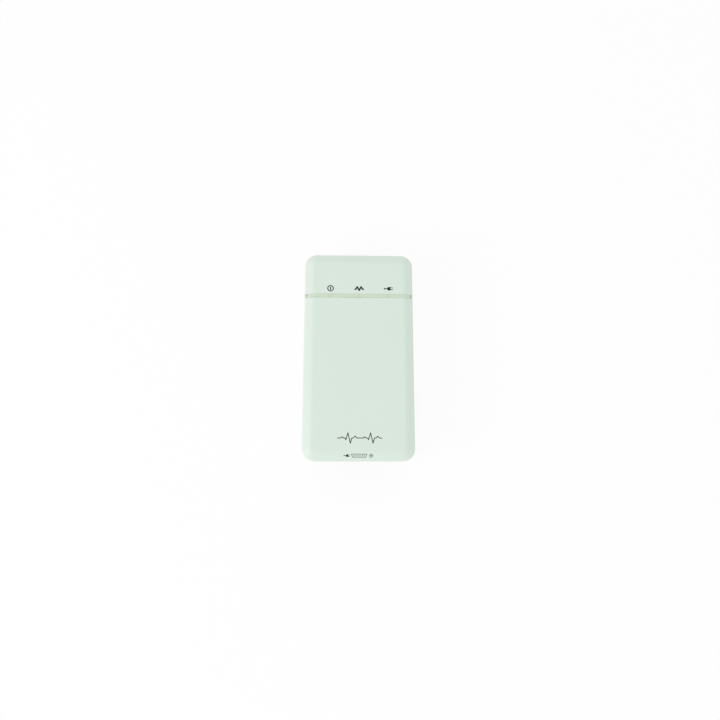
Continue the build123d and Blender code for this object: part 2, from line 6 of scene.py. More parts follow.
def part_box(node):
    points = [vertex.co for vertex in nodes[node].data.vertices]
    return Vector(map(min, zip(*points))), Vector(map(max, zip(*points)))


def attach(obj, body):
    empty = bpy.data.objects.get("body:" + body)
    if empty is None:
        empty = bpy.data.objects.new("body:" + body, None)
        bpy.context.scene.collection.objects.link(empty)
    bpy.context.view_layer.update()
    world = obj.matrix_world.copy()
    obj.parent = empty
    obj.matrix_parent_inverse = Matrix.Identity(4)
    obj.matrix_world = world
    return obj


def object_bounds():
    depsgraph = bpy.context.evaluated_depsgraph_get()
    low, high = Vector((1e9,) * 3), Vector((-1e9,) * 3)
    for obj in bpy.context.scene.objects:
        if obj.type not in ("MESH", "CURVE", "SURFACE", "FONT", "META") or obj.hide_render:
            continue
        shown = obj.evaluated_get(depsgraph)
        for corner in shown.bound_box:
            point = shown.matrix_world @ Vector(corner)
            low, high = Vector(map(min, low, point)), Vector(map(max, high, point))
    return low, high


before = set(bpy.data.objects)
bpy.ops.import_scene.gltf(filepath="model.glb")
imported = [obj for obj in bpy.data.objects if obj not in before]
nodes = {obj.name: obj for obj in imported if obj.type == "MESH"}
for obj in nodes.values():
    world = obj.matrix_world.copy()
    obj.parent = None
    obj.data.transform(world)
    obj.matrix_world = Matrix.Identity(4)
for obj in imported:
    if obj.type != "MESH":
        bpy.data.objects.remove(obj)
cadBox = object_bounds()
mm = 0.001

# The camera hangs over the case and looks almost straight down
camera = {
    "place": (-7.03, -60.5, 322.42),     # millimetres
    "aim": (0.727, -3.312, 22.0),
    "roll": 0.00095,                     # radians
    "lens": 27.353,
    "sensor": 36.0,
}

# A white room, a soft rosy lamp on the left, and a white floor that keeps the shadow
studio = {
    "roomLight": 0.873,
    "lampFrom": (-0.75, -0.32, 0.38),
    "lampDistance": 1.2,                 # metres
    "lampSize": 0.5,
    "lampPower": 4.05,
    "lampColour": (1.0, 0.87, 0.93),
    "floorSize": 6.0,
    "floorColour": (0.96, 0.96, 0.96),
    "floorWhite": 0.87,                  # share of plain white that the camera sees in the floor
}


def makeCamera():
    place = Vector(camera["place"]) * mm
    ahead = (Vector(camera["aim"]) * mm - place).normalized()
    level = ahead.cross(Vector((0, 1, 0))).normalized()
    over = level.cross(ahead)
    cosine, sine = np.cos(camera["roll"]), np.sin(camera["roll"])
    right = level * cosine + over * sine
    up = over * cosine - level * sine
    data = bpy.data.cameras.new("camera")
    data.lens = camera["lens"]
    data.sensor_width = camera["sensor"]
    data.clip_start = 0.01
    made = bpy.data.objects.new("camera", data)
    bpy.context.scene.collection.objects.link(made)
    turn = Matrix((right, up, -ahead)).transposed()
    made.matrix_world = Matrix.Translation(place) @ turn.to_4x4()
    bpy.context.scene.camera = made


makeCamera()
bpy.context.scene.view_settings.view_transform = "Standard"
print("camera set")


# One output of a node, on which sums can be written
class Wire:
    def __init__(self, tree, socket):
        self.tree = tree
        self.socket = socket

    def work(self, operation, first, second):
        return self.tree.node("Math", {"operation": operation}, {0: first, 1: second})

    def __add__(self, other):
        return self.work("ADD", self, other)

    def __radd__(self, other):
        return self.work("ADD", other, self)

    def __sub__(self, other):
        return self.work("SUBTRACT", self, other)

    def __rsub__(self, other):
        return self.work("SUBTRACT", other, self)

    def __mul__(self, other):
        return self.work("MULTIPLY", self, other)

    def __rmul__(self, other):
        return self.work("MULTIPLY", other, self)

    def __truediv__(self, other):
        return self.work("DIVIDE", self, other)

    def __abs__(self):
        return self.tree.node("Math", {"operation": "ABSOLUTE"}, {0: self})

    def least(self, other):
        return self.work("MINIMUM", self, other)

    def most(self, other):
        return self.work("MAXIMUM", self, other)

    def only(self, operation):
        return self.tree.node("Math", {"operation": operation}, {0: self})


# A node tree, filled through one method
class Tree:
    def __init__(self, owner):
        owner.use_nodes = True
        self.tree = owner.node_tree

    # A node of a kind: its settings first, then the values or wires of its sockets
    def node(self, kind, settings=None, values=None, out=0):
        made = self.tree.nodes.new("ShaderNode" + kind)
        for key, value in (settings or {}).items():
            setattr(made, key, value)
        for key, value in (values or {}).items():
            self.join(value, made.inputs[key])
        return Wire(self, made.outputs[out])

    def join(self, value, socket):
        if isinstance(value, Wire):
            self.tree.links.new(value.socket, socket)
        elif socket.type == "RGBA":
            socket.default_value = (*value, 1)
        else:
            socket.default_value = value

    # The other outputs of the node that a wire comes from
    def beside(self, wire, name):
        return Wire(self, wire.socket.node.outputs[name])


# How far a ray is one that sees the white background: 1 for camera, mirror and glass rays
def seenRays(tree):
    camera = tree.node("LightPath", out="Is Camera Ray")
    seen = camera + tree.beside(camera, "Is Glossy Ray")
    seen = seen + tree.beside(camera, "Is Transmission Ray")
    return seen.least(1)


def makeRoom():
    world = bpy.data.worlds.new("room")
    bpy.context.scene.world = world
    tree = Tree(world)
    background = tree.tree.nodes["Background"]
    tree.join((1, 1, 1), background.inputs["Color"])
    light = studio["roomLight"]
    tree.join(seenRays(tree) * (1 - light) + light, background.inputs["Strength"])


def makeLamp():
    data = bpy.data.lights.new("softLamp", "AREA")
    data.shape = "DISK"
    data.size = studio["lampSize"]
    data.energy = studio["lampPower"]
    data.color = studio["lampColour"]
    lamp = bpy.data.objects.new("softLamp", data)
    bpy.context.scene.collection.objects.link(lamp)
    way = Vector(studio["lampFrom"]).normalized()
    lamp.location = way * studio["lampDistance"]
    lamp.rotation_mode = "QUATERNION"
    lamp.rotation_quaternion = way.to_track_quat("Z", "Y")


def makeFloor():
    half = studio["floorSize"] / 2
    corners = [(-half, -half, 0), (half, -half, 0), (half, half, 0), (-half, half, 0)]
    mesh = bpy.data.meshes.new("floor")
    mesh.from_pydata(corners, [], [(0, 1, 2, 3)])
    floor = bpy.data.objects.new("floor", mesh)
    bpy.context.scene.collection.objects.link(floor)
    material = bpy.data.materials.new("floor")
    tree = Tree(material)
    matt = tree.node("BsdfDiffuse", {}, {"Color": studio["floorColour"]})
    plain = tree.node("Emission", {}, {"Color": (1, 1, 1), "Strength": 1})
    share = seenRays(tree) * studio["floorWhite"]
    mixed = tree.node("MixShader", {}, {0: share, 1: matt, 2: plain})
    tree.join(mixed, tree.tree.nodes["Material Output"].inputs["Surface"])
    mesh.materials.append(material)


makeRoom()
makeLamp()
makeFloor()
print("room, lamp and floor set")


# A colour as a screen shows it, 0 to 255, in the linear values that shaders use
def paint(red, green, blue):
    share = np.array((red, green, blue)) / 255
    return tuple(np.where(share < 0.04045, share / 12.92, ((share + 0.055) / 1.055) ** 2.4))


# The middle and the half lengths of a node's box, in millimetres
def middleAndHalf(node):
    low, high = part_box(node)
    return (low + high) / 2 / mm, (high - low) / 2 / mm


# How far two offsets at right angles reach together
def reach(first, second):
    return (first * first + second * second).only("SQRT")


# A material with its main shader, and the patterns that its pieces share. Places are in millimetres
class Finish(Tree):
    def __init__(self, name, plain):
        self.material = bpy.data.materials.new(name)
        super().__init__(self.material)
        self.shader = self.tree.nodes["Principled BSDF"]
        for key, value in plain.items():
            self.join(value, self.shader.inputs[key])
        place = self.node("TexCoord", out="Object")
        self.place = self.node("VectorMath", {"operation": "SCALE"}, {0: place, "Scale": 1 / mm})
        self.x = self.node("SeparateXYZ", {}, {0: self.place}, "X")
        self.y = self.beside(self.x, "Y")
        self.z = self.beside(self.x, "Z")

    # What varies over the surface: a name of a socket, and what feeds it
    def vary(self, **fed):
        for key, value in fed.items():
            self.join(value, self.shader.inputs[key.replace("_", " ")])

    # Soft noise from 0 to 1 with spots about a size across, drawn out along the axes by a stretch
    def cloud(self, size, detail=2, stretch=(1, 1, 1)):
        place = self.node("VectorMath", {"operation": "DIVIDE"}, {0: self.place, 1: stretch})
        return self.node("TexNoise", {}, {"Vector": place, "Scale": 1 / size, "Detail": detail})

    # Cells about a size across: Distance is 0 at a cell's middle, and Color differs from cell to cell
    def cells(self, size, out="Distance"):
        return self.node("TexVoronoi", {}, {"Vector": self.place, "Scale": 1 / size}, out)

    # 0 before a start and 1 past an end, with a smooth rise between
    def rise(self, value, start, end):
        values = {"Value": value, "From Min": start, "From Max": end}
        return self.node("MapRange", {"interpolation_type": "SMOOTHSTEP"}, values)

    # 0 up to a place and 1 past it, with an edge that is soft over a blur
    def past(self, value, place, blur):
        return self.rise(value, place, place + blur)

    # 1 at a place, falling to 0 a width away on both sides
    def near(self, value, place, width):
        return 1 - self.rise(abs(value - place), 0, width)

    # 1 inside a half width of a place, with an edge that is soft over a blur
    def within(self, value, place, half, blur):
        return 1 - self.rise(abs(value - place), half - blur, half + blur)

    # Soft patches about a size across: 1 where a cloud is past an end, 0 where it is before a start
    def patches(self, size, start, end, detail=4, stretch=(1, 1, 1)):
        return self.rise(self.cloud(size, detail, stretch), start, end)

    # One speck in each cell about a size across: 0 where it is farther from its middle than a start, 1
    # where it is nearer than an end
    def specks(self, size, start, end):
        return self.rise(self.cells(size), start, end)

    # One colour over another, by a mask
    def over(self, mask, under, upper):
        values = {0: mask, 6: under, 7: upper}
        return self.node("Mix", {"data_type": "RGBA", "clamp_factor": True}, values, 2)

    # A colour made lighter or darker by a number
    def shaded(self, colour, number):
        return self.node("VectorMath", {"operation": "SCALE"}, {0: colour, "Scale": number})

    # A relief of a depth in millimetres, on top of another one
    def relief(self, height, depth, below=None):
        values = {"Height": height, "Distance": depth * mm}
        if below:
            values["Normal"] = below
        return self.node("Bump", {}, values)

    # A relief of soft bumps about a size across and of a depth, on top of another one
    def bumps(self, size, depth, detail=2, stretch=(1, 1, 1), below=None):
        return self.relief(self.cloud(size, detail, stretch), depth, below)


# In every look below, sizes and levels are in millimetres, patches and specks are written as a size, a start
# and an end, and bumps as a size and a depth

# The moulded case: fine spark grain, faint clouds of pigment, polished rims, dirt in the seams, and painted
# shade with a little dirt in the groove ends of the light strip
caseLook = {
    "colour": paint(218, 233, 221),
    "worn": paint(230, 238, 231),
    "dirt": paint(150, 152, 138),
    "grooveShadeAndDirt": paint(96, 104, 94),
    "roughness": 0.46,
    "cloudSize": 24,
    "mottleSize": 0.5,
    "smudges": (9, 0.5, 0.72),
    "scuffs": (1.6, 0.56, 0.7),
    "waves": (14, 0.01),
    "grain": (0.26, 0.011),
    "corner": 6.8,
    "cornerWear": (74, 84),              # from one sum of the distances along X and Y to another
    "rimLevel": 20.8,
    "rimWidth": 1.6,
    "parting": 11.0,
    "seamWidth": 0.5,
    "seamCloud": 3,
    "footLevels": (1.0, 2.6),
    "grooveFloor": 19.4,
    "grooveReach": 0.4,
    "wornShare": 0.5,
    "seamShare": 0.42,
    "footShare": 0.25,
    "grooveShadeShare": 0.42,
}


# Distance past the case's rounded outline, which is 0 on its walls and negative inside
def pastOutline(finish):
    high = cadBox[1] / mm
    overX = (abs(finish.x) - (high.x - caseLook["corner"])).most(0)
    overY = (abs(finish.y) - (high.y - caseLook["corner"])).most(0)
    return reach(overX, overY) - caseLook["corner"]


# Painted shade and dirt in the groove at both ends of the light strip: a mask that darkens the groove where
# shadow falls in it
def grooveShadeAndDirt(finish):
    middle, half = middleAndHalf("light_strip")
    halfReach = caseLook["grooveReach"] / 2
    across = finish.within(abs(finish.x), half.x + halfReach, halfReach, 0.08)
    along = finish.within(finish.y, middle.y, half.y + 0.1, 0.05)
    above = finish.rise(finish.z, caseLook["grooveFloor"] - 0.2, caseLook["grooveFloor"] - 0.05)
    return across * along * above


def makeCaseFinish():
    look = caseLook
    finish = Finish("casePlastic", {"IOR": 1.5, "Specular IOR Level": 0.5})
    past = pastOutline(finish)
    clouds = finish.cloud(look["cloudSize"], 3)
    mottle = finish.cloud(look["mottleSize"]) - 0.5
    smudges = finish.patches(*look["smudges"])
    scuffs = finish.patches(*look["scuffs"], stretch=(1, 1, 0.6))
    rim = finish.near(finish.z, look["rimLevel"], look["rimWidth"]) * finish.rise(past, -1.6, -0.4)
    corner = finish.rise(abs(finish.x) + abs(finish.y), *look["cornerWear"])
    worn = (rim * (0.35 + 0.65 * corner)) * (0.25 + 0.75 * scuffs)
    seam = finish.near(finish.z, look["parting"], look["seamWidth"]) * finish.rise(past, -0.6, -0.2)
    dirt = seam * (0.45 + 0.55 * finish.cloud(look["seamCloud"], 3))
    foot = (1 - finish.rise(finish.z, *look["footLevels"])) * finish.rise(past, -2.4, -0.3) * scuffs
    plain = finish.shaded(look["colour"], 0.985 + 0.03 * clouds + 0.02 * mottle)
    colour = finish.over(worn * look["wornShare"], plain, look["worn"])
    colour = finish.over(dirt * look["seamShare"] + foot * look["footShare"], colour, look["dirt"])
    # Painted shade: the groove ends of the light strip are darkened as if in shadow, with a little dirt
    colour = finish.over(grooveShadeAndDirt(finish) * look["grooveShadeShare"], colour, look["grooveShadeAndDirt"])
    roughness = look["roughness"] + 0.06 * (clouds - 0.5) - 0.05 * smudges - 0.12 * worn + 0.12 * dirt
    waves = finish.bumps(*look["waves"], 1)
    grain = finish.bumps(*look["grain"], 3, below=waves)
    finish.vary(Base_Color=colour, Roughness=roughness, Normal=grain)
    return finish


lampSpread = 16.4    # how far the outer lamps, and the strip's legs over them, stand from the middle

# The light strip: cloudy clear plastic, a little deeper in colour over the legs below it, and with painted
# shade that deepens it below its top
stripLook = {
    "colour": paint(209, 226, 204),
    "deep": paint(190, 211, 181),
    "speck": paint(235, 240, 222),
    "legHalf": 1.3,
    "legBlur": 0.9,
    "paintedShadeFrom": 3,                       # below the strip's top
    "hazeSize": 5,
    "specks": (1.1, 0.1, 0.02),
    "drawn": (0.35, 0.006),
    "legShare": 0.36,
    "hazeShare": 0.25,
    "paintedShadeShare": 0.12,
    "speckShare": 0.25,
}


def makeStripFinish():
    look = stripLook
    plain = {"IOR": 1.58, "Subsurface Weight": 0.25, "Subsurface Radius": (0.0012, 0.0014, 0.0008),
             "Subsurface Scale": 1.0, "Coat Roughness": 0.15}
    finish = Finish("lightStripPlastic", plain)
    middle, half = middleAndHalf("light_strip")
    top = middle.z + half.z
    inner = finish.within(finish.x, 0, look["legHalf"], look["legBlur"])
    outer = finish.within(abs(finish.x), lampSpread, look["legHalf"], look["legBlur"])
    legs = inner.most(outer)
    haze = finish.cloud(look["hazeSize"], 3, (2.5, 1, 1))
    # Painted shade: the strip's colour deepens below its top, down its sides in the groove and where it runs
    # down the bevels
    depth = 1 - finish.rise(finish.z, top - look["paintedShadeFrom"], top)
    deep = legs * look["legShare"] + look["hazeShare"] * haze + look["paintedShadeShare"] * depth
    specks = finish.specks(*look["specks"])
    colour = finish.over(deep, look["colour"], look["deep"])
    colour = finish.over(specks * look["speckShare"], colour, look["speck"])
    drawn = finish.bumps(*look["drawn"], stretch=(6, 1, 1))
    finish.vary(Base_Color=colour, Roughness=0.3 + 0.14 * haze, Coat_Weight=0.25 + 0.2 * haze, Normal=drawn)
    return finish


# The label: satin film with a fine drawn grain, and edges that have gone a little grey
labelLook = {
    "colour": paint(222, 224, 222),
    "edge": paint(188, 190, 184),
    "edgeWidth": 1.2,
    "edgeShare": 0.6,
    "edgeCloud": 2.5,
    "cloudSize": 11,
    "drawn": (0.2, 0.004),
    "film": (7, 0.05),
}


def makeLabelFinish():
    look = labelLook
    finish = Finish("labelFilm", {"IOR": 1.5, "Coat Roughness": 0.2})
    half = middleAndHalf("rating_label")[1]
    sideways = finish.rise(abs(finish.x), half.x - look["edgeWidth"], half.x)
    endways = finish.rise(abs(finish.y), half.y - look["edgeWidth"], half.y)
    edge = sideways.most(endways) * (0.4 + 0.6 * finish.cloud(look["edgeCloud"], 4))
    clouds = finish.cloud(look["cloudSize"], 3)
    plain = finish.shaded(look["colour"], 0.98 + 0.04 * clouds)
    colour = finish.over(edge * look["edgeShare"], plain, look["edge"])
    drawn = finish.bumps(*look["drawn"], stretch=(1, 14, 1))
    film = finish.bumps(*look["film"], below=drawn)
    finish.vary(Base_Color=colour, Roughness=0.32 + 0.12 * clouds, Coat_Weight=0.15 + 0.15 * clouds,
                Normal=film)
    return finish


# The feet: matt rubber with mould grain, dusty where it meets the table
footLook = {
    "colour": paint(62, 64, 63),
    "dust": paint(128, 124, 116),
    "dustLevel": 0.5,
    "dustShare": 0.4,
    "dustPatches": (0.8, 0.36, 0.8),
    "cloudSize": 2,
    "dullSize": 1,
    "grain": (0.22, 0.02),
}


def makeFootFinish():
    look = footLook
    finish = Finish("footRubber", {"IOR": 1.5, "Specular IOR Level": 0.35})
    low = 1 - finish.rise(finish.z, 0, look["dustLevel"])
    dust = low * finish.patches(*look["dustPatches"], 5)
    rubber = finish.shaded(look["colour"], 0.9 + 0.2 * finish.cloud(look["cloudSize"], 3))
    colour = finish.over(dust * look["dustShare"], rubber, look["dust"])
    roughness = 0.74 + 0.14 * finish.cloud(look["dullSize"], 3)
    finish.vary(Base_Color=colour, Roughness=roughness, Normal=finish.bumps(*look["grain"], 3))
    return finish


# Plated screws: turning marks round each head, and dull stains
screwLook = {
    "colour": paint(196, 199, 203),
    "dull": paint(138, 140, 140),
    "dullShare": 0.45,
    "stains": (0.9, 0.48, 0.7),
    "ringPitch": 0.16,
    "ringDepth": 0.006,
    "ringCloud": 0.6,
    "headRadius": {"case_screws": 2.35, "board_screws": 1.9},
}


# Distance from the nearest axis of the four screws that stand at the corners of their node's box
def fromScrews(finish, node):
    middle, half = middleAndHalf(node)
    head = screwLook["headRadius"][node]
    across = abs(finish.x - middle.x) - (half.x - head)
    along = abs(finish.y - middle.y) - (half.y - head)
    return reach(across, along)


def makeScrewFinish(node):
    look = screwLook
    finish = Finish(node + "Zinc", {})
    rings = (fromScrews(finish, node) * (2 * np.pi / look["ringPitch"])).only("SINE")
    stains = finish.patches(*look["stains"])
    colour = finish.over(stains * look["dullShare"], look["colour"], look["dull"])
    turned = finish.relief(rings * (0.6 + 0.4 * finish.cloud(look["ringCloud"], 3)), look["ringDepth"])
    finish.vary(Base_Color=colour, Metallic=1 - 0.12 * stains, Roughness=0.27 + 0.22 * stains, Normal=turned)
    return finish


# The board: green resist over copper runs, tinned pads round the screws, bare glass fibre at its edges
boardLook = {
    "resist": paint(22, 84, 52),
    "run": paint(42, 116, 70),
    "fibre": paint(176, 166, 116),
    "pad": paint(200, 198, 186),
    "block": 7.0,
    "turnedFrom": 0.49,                  # the draw past which a block's runs turn
    "bareBelow": 0.18,                   # the draw under which a block has none
    "runPitch": 1.1,
    "runHalf": 0.22,                     # of the pitch
    "pours": (16, 0.55, 0.56),
    "padRadius": 2.9,
    "skin": 0.06,
    "cloudSize": 3,
    "dullSize": 2,
    "weaveTurns": 9,
    "copperDepth": 0.03,
}


# Runs lie along X in some blocks of the board and along Y in others, by a random number for each block
def copperRuns(finish):
    look = boardLook
    step = finish.node("VectorMath", {"operation": "SCALE"}, {0: finish.place, "Scale": 1 / look["block"]})
    step = finish.node("VectorMath", {"operation": "FLOOR"}, {0: step})
    flat = finish.node("VectorMath", {"operation": "MULTIPLY"}, {0: step, 1: (1, 1, 0)})
    draw = finish.node("TexWhiteNoise", {}, {"Vector": flat})
    turned = finish.past(draw, look["turnedFrom"], 0.02)
    phase = ((finish.x * turned + finish.y * (1 - turned)) / look["runPitch"]).only("FRACT")
    run = finish.within(phase, 0.5, look["runHalf"], 0.04) * finish.past(draw, look["bareBelow"], 0.02)
    return run.most(finish.patches(*look["pours"], 1))


def makeBoardFinish():
    look = boardLook
    finish = Finish("circuitBoard", {"IOR": 1.5, "Coat Roughness": 0.12})
    low, high = (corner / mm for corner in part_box("main_board"))
    run = copperRuns(finish)
    pad = 1 - finish.past(fromScrews(finish, "board_screws"), look["padRadius"], 0.1)
    skin = look["skin"]
    inside = finish.past(finish.z, low.z, skin) * (1 - finish.past(finish.z, high.z - skin, skin))
    colour = finish.over(run, look["resist"], look["run"])
    colour = finish.shaded(colour, 0.92 + 0.16 * finish.cloud(look["cloudSize"], 3))
    colour = finish.over(pad, colour, look["pad"])
    colour = finish.over(inside, colour, look["fibre"])
    weave = (finish.x * look["weaveTurns"]).only("SINE") * (finish.y * look["weaveTurns"]).only("SINE")
    height = finish.relief(run + 0.08 * weave, look["copperDepth"])
    roughness = 0.34 + 0.3 * inside + 0.1 * finish.cloud(look["dullSize"], 3)
    finish.vary(Base_Color=colour, Metallic=pad * (1 - inside) * 0.9, Roughness=roughness,
                Coat_Weight=0.4 * (1 - inside) * (1 - pad), Normal=height)
    return finish


# Bright plated steel: a fine grain along the piece, faintly cloudy plating and handling smudges
platedLook = {
    "colour": paint(200, 200, 197),
    "warm": paint(188, 184, 172),
    "warmShare": 0.5,
    "cloudSize": 3.5,
    "smudges": (1.8, 0.5, 0.68),
    "grain": (0.12, 0.004),
    "waves": (2.5, 0.02),
    "bore": paint(120, 112, 96),
    "boreShare": 0.5,
    "boreRadius": 1.25,
    "threadPitch": 0.64,
    "threadDepth": 0.12,
    "nutHalf": 2.38,
}


# The nuts' bores also carry a thread, where the distance from a nut's axis is under the bore's radius
def makePlatedFinish(name, grainStretch, nuts=False):
    look = platedLook
    finish = Finish(name, {})
    clouds = finish.cloud(look["cloudSize"], 4)
    smudges = finish.patches(*look["smudges"], 5)
    colour = finish.over(look["warmShare"] * clouds, look["colour"], look["warm"])
    grain = finish.bumps(*look["grain"], stretch=grainStretch)
    height = finish.bumps(*look["waves"], below=grain)
    roughness = 0.22 + 0.08 * smudges + 0.05 * clouds
    if nuts:
        middle, half = middleAndHalf("jack_nuts")
        radius = reach(abs(finish.x) - (half.x - look["nutHalf"]), finish.z - middle.z)
        bore = 1 - finish.past(radius, look["boreRadius"], 0.05)
        thread = (finish.y * (2 * np.pi / look["threadPitch"])).only("SINE")
        height = finish.relief(thread * bore, look["threadDepth"], height)
        colour = finish.over(bore * look["boreShare"], colour, look["bore"])
        roughness = roughness + 0.2 * bore
    finish.vary(Base_Color=colour, Metallic=1 - 0.04 * smudges, Roughness=roughness, Normal=height)
    return finish


# Black socket mouldings: glass filled plastic with flow lines and a little dust
mouldingLook = {
    "colour": paint(38, 39, 41),
    "flow": paint(58, 59, 61),
    "dust": paint(112, 110, 104),
    "flowLines": (0.8, 0.45, 0.7),
    "dustPatches": (0.5, 0.6, 0.75),
    "flowShare": 0.5,
    "dustShare": 0.18,
    "grain": (0.14, 0.01),
}


def makeMouldingFinish():
    look = mouldingLook
    finish = Finish("socketMoulding", {"IOR": 1.52, "Specular IOR Level": 0.45})
    flow = finish.patches(*look["flowLines"], 5, (1, 3, 1))
    dust = finish.patches(*look["dustPatches"])
    colour = finish.over(flow * look["flowShare"], look["colour"], look["flow"])
    colour = finish.over(dust * look["dustShare"], colour, look["dust"])
    roughness = 0.42 + 0.16 * flow + 0.1 * dust
    finish.vary(Base_Color=colour, Roughness=roughness, Normal=finish.bumps(*look["grain"], 3))
    return finish


# Gold on nickel: warm and bright, thinner and paler where plugs have slid
goldLook = {
    "colour": paint(232, 190, 106),
    "thin": paint(206, 190, 150),
    "slides": (0.4, 0.5, 0.72),
    "slideShare": 0.6,
    "cloudShare": 0.2,
    "cloudSize": 1.5,
    "scratches": (0.06, 0.002),
}


def makeGoldFinish():
    look = goldLook
    finish = Finish("goldPlate", {})
    slid = finish.patches(*look["slides"], stretch=(0.4, 4, 0.4))
    thin = slid * look["slideShare"] + look["cloudShare"] * finish.cloud(look["cloudSize"], 3)
    colour = finish.over(thin, look["colour"], look["thin"])
    scratches = finish.bumps(*look["scratches"], stretch=(1, 20, 1))
    finish.vary(Base_Color=colour, Metallic=1 - 0.1 * slid, Roughness=0.18 + 0.16 * slid, Normal=scratches)
    return finish


# Chips: matt black resin with a round mark at the first lead, and tinned leads past the body's sides
chipLook = {
    "resin": paint(37, 38, 40),
    "filler": paint(66, 66, 66),
    "lead": paint(190, 190, 186),
    "specks": (0.12, 0.16, 0.04),
    "fillerShare": 0.4,
    "cloudSize": 1.8,
    "dullSize": 0.7,
    "grainSize": 0.1,
    "depth": 0.012,
    "markDepth": 2,                      # times the grain's
    "markRadius": 0.5,
    "markInset": 1.3,
}


# The leads reach a length past the body along X, along Y or both, inside the node's box
def makeChipFinish(node, leadX, leadY):
    look = chipLook
    finish = Finish(node + "Resin", {"IOR": 1.55})
    middle, half = middleAndHalf(node)
    bodyX, bodyY = half.x - leadX, half.y - leadY
    specks = finish.specks(*look["specks"])
    colour = finish.over(specks * look["fillerShare"], look["resin"], look["filler"])
    colour = finish.shaded(colour, 0.9 + 0.2 * finish.cloud(look["cloudSize"], 3))
    markX = middle.x - bodyX + look["markInset"]
    markY = middle.y - bodyY + look["markInset"]
    fromMark = reach(finish.x - markX, finish.y - markY)
    mark = 1 - finish.rise(fromMark, look["markRadius"] - 0.04, look["markRadius"])
    mark = mark * finish.rise(finish.z, middle.z, middle.z + half.z)
    height = finish.relief(finish.cloud(look["grainSize"], 3) - look["markDepth"] * mark, look["depth"])
    roughness = 0.56 + 0.1 * finish.cloud(look["dullSize"], 3) - 0.2 * mark
    if leadX or leadY:
        leadSide = finish.past(abs(finish.x - middle.x), bodyX, 0.02) if leadX else 0
        leadEnd = finish.past(abs(finish.y - middle.y), bodyY, 0.02) if leadY else 0
        lead = (leadEnd + leadSide).least(1)
        colour = finish.over(lead, colour, look["lead"])
        roughness = roughness - 0.22 * lead
        finish.vary(Metallic=lead)
    finish.vary(Base_Color=colour, Roughness=roughness, Normal=height)
    return finish


# Small board parts: a speckled ceramic body with tinned caps past a length on each side of its row
ceramicLook = {
    "cap": paint(196, 195, 190),
    "speck": paint(240, 236, 226),
    "specks": (0.15, 0.15, 0.02),
    "speckShare": 0.2,
    "cloudSize": 0.3,
    "solderSize": 0.25,
    "grainSize": 0.08,
    "depth": 0.01,
}


# The rows are the distances of a node's parts from its middle along Y, and the nearest one counts
def makeCeramicFinish(node, colour, rows, capStart):
    look = ceramicLook
    finish = Finish(node + "Ceramic", {"IOR": 1.6})
    offset = abs(finish.y - middleAndHalf(node)[0].y)
    nearest = abs(offset - rows[0])
    for row in rows[1:]:
        nearest = nearest.least(abs(offset - row))
    cap = finish.past(nearest, capStart, 0.03)
    body = finish.shaded(colour, 0.88 + 0.24 * finish.cloud(look["cloudSize"], 3))
    body = finish.over(finish.specks(*look["specks"]) * look["speckShare"], body, look["speck"])
    solder = finish.cloud(look["solderSize"], 3)
    grain = finish.relief(finish.cloud(look["grainSize"]) + cap * solder, look["depth"])
    finish.vary(Base_Color=finish.over(cap, body, look["cap"]), Metallic=cap * 0.95,
                Roughness=0.46 - 0.12 * cap + 0.1 * solder, Normal=grain)
    return finish


# Tinned steel: rolled grain along Y, crystal cells in the tin, finger marks
tinLook = {
    "colour": paint(188, 189, 187),
    "dark": paint(158, 159, 157),
    "cellSize": 2.4,
    "cellShare": 0.35,
    "marks": (4, 0.52, 0.68),
    "markShare": 0.3,
    "rolled": (0.1, 0.003),
    "waves": (6, 0.06),
}


def makeTinFinish(name):
    look = tinLook
    finish = Finish(name, {})
    crystal = finish.node("SeparateColor", {}, {0: finish.cells(look["cellSize"], "Color")})
    marks = finish.patches(*look["marks"])
    dark = look["cellShare"] * crystal + look["markShare"] * marks
    colour = finish.over(dark, look["colour"], look["dark"])
    rolled = finish.bumps(*look["rolled"], stretch=(1, 25, 1))
    height = finish.bumps(*look["waves"], below=rolled)
    roughness = 0.28 + 0.1 * crystal + 0.12 * marks
    finish.vary(Base_Color=colour, Metallic=1 - 0.1 * marks, Roughness=roughness, Normal=height)
    return finish


# Capacitor cans: drawn aluminium on a black base, with a black part on top for the minus lead
canLook = {
    "metal": paint(200, 202, 204),
    "black": paint(34, 34, 36),
    "baseHeight": 1.0,
    "topHeight": 0.3,
    "markStart": 1.5,
    "spread": 13.0,
    "cloudSize": 1.2,
    "drawn": (0.08, 0.003),
}


def makeCanFinish():
    look = canLook
    finish = Finish("capacitorCan", {})
    low, high = (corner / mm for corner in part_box("bulk_capacitors"))
    base = 1 - finish.past(finish.z, low.z + look["baseHeight"], 0.04)
    top = finish.past(finish.z, high.z - look["topHeight"], 0.05)
    mark = top * finish.past(abs(finish.x) - look["spread"], look["markStart"], 0.05)
    black = base.most(mark)
    clouds = finish.cloud(look["cloudSize"], 4)
    colour = finish.over(black, finish.shaded(look["metal"], 0.92 + 0.14 * clouds), look["black"])
    drawn = finish.bumps(*look["drawn"], stretch=(1, 1, 12))
    roughness = 0.28 + 0.22 * black + 0.08 * clouds
    finish.vary(Base_Color=colour, Metallic=(1 - black) * 0.97, Roughness=roughness, Normal=drawn)
    return finish


# The choke: dark sintered ferrite with tinned ends
chokeLook = {
    "ferrite": paint(66, 64, 62),
    "grain": paint(98, 95, 90),
    "end": paint(192, 190, 184),
    "endStart": 1.75,
    "grains": (0.12, 0.5, 0.7),
    "grainShare": 0.5,
    "sinter": (0.1, 0.015),
}


def makeChokeFinish():
    look = chokeLook
    finish = Finish("chokeFerrite", {"IOR": 1.6})
    end = finish.past(abs(finish.x), look["endStart"], 0.03)
    grain = finish.patches(*look["grains"], 3)
    colour = finish.over(grain * look["grainShare"], look["ferrite"], look["grain"])
    colour = finish.over(end, colour, look["end"])
    roughness = 0.6 - 0.25 * end + 0.1 * grain
    finish.vary(Base_Color=colour, Metallic=end * 0.9, Roughness=roughness,
                Normal=finish.bumps(*look["sinter"], 3))
    return finish


